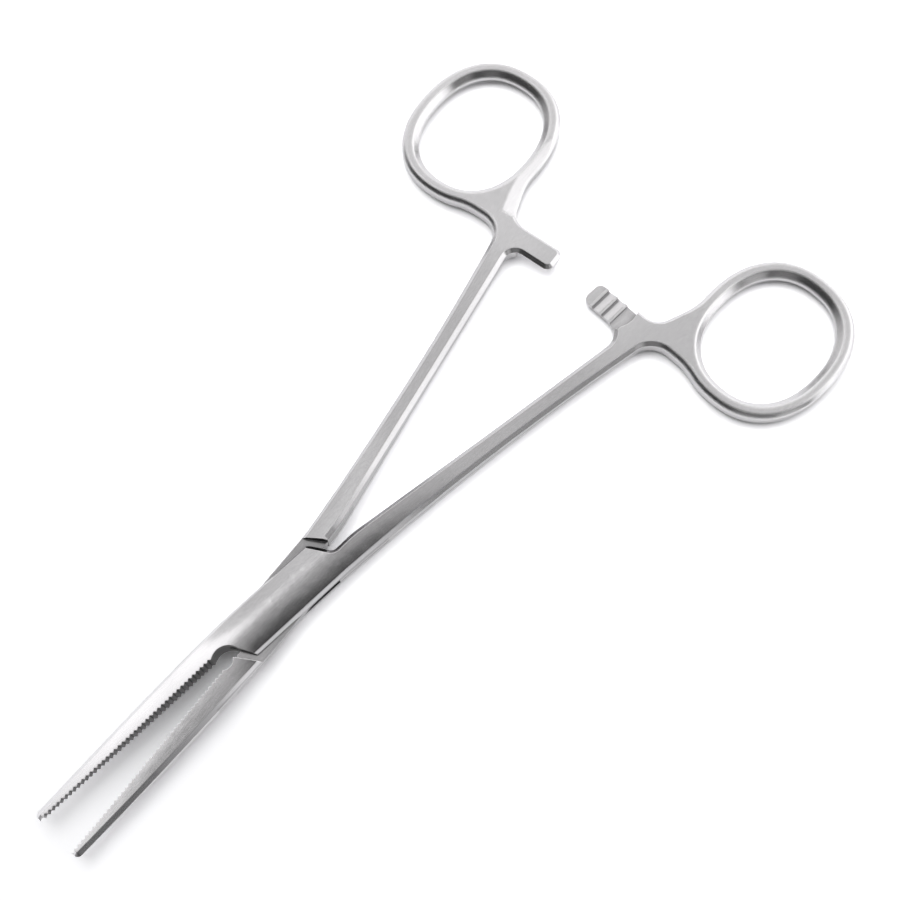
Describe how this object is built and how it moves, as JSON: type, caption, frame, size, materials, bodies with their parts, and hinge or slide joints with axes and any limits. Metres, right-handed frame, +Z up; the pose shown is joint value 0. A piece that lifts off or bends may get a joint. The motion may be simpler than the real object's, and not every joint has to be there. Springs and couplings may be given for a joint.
{
  "type": "hemostat forceps",
  "caption": "Straight hemostat forceps with a box lock, cross-serrated jaws, finger rings and a hooked locking ratchet.",
  "frame": {"origin": "joint axis where it meets the flat ground on the underside of the box", "axes": "+Y towards the jaw tips, along the box half's closing line; +Z up out of the top face, along the joint axis; +X towards the box half's jaw"},
  "size_m": [0.0942, 0.1607, 0.0047],
  "materials": {
    "satin_steel": "satin, fine cross grain",
    "pin_steel": "satin, ground flush"
  },
  "bodies": {
    "box_side": {"box_half": "satin_steel", "joint_pin": "pin_steel"},
    "tongue_side": {"tongue_half": "satin_steel"}
  },
  "joints": [
    {"name": "box_lock", "type": "hinge", "parent": "box_side", "child": "tongue_side", "pos_m": [0, 0, 0.0023], "axis": [0, 0, 1], "range_deg": [-8, 52]}
  ]
}
